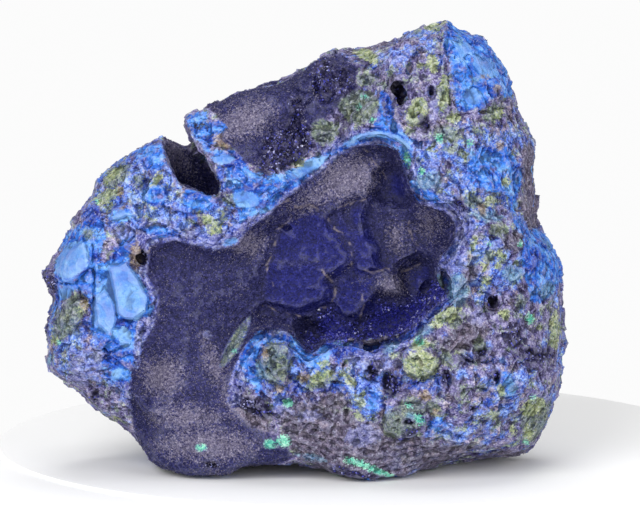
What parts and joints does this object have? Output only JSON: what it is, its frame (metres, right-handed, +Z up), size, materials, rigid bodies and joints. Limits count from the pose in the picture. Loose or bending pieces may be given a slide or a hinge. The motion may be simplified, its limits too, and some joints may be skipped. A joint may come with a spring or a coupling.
{
  "type": "azurite specimen",
  "caption": "Broken lump of blue azurite and green malachite in grey matrix, with a wide velvet-lined hollow in its front; rests on its worn underside.",
  "frame": {"origin": "a point on the flat underside that the lump rests on, below the middle of the lump", "axes": "+Z up from the table, -Y out of the front with the hollow, +X to the right as seen from the front"},
  "size_m": [0.1321, 0.0765, 0.1135],
  "materials": {
    "azurite": "rough broken mineral: bright blue and pale blue azurite, indigo velvet druse, green malachite specks and grey-brown matrix"
  },
  "bodies": {
    "root": {"azurite_specimen": "azurite"}
  },
  "joints": []
}
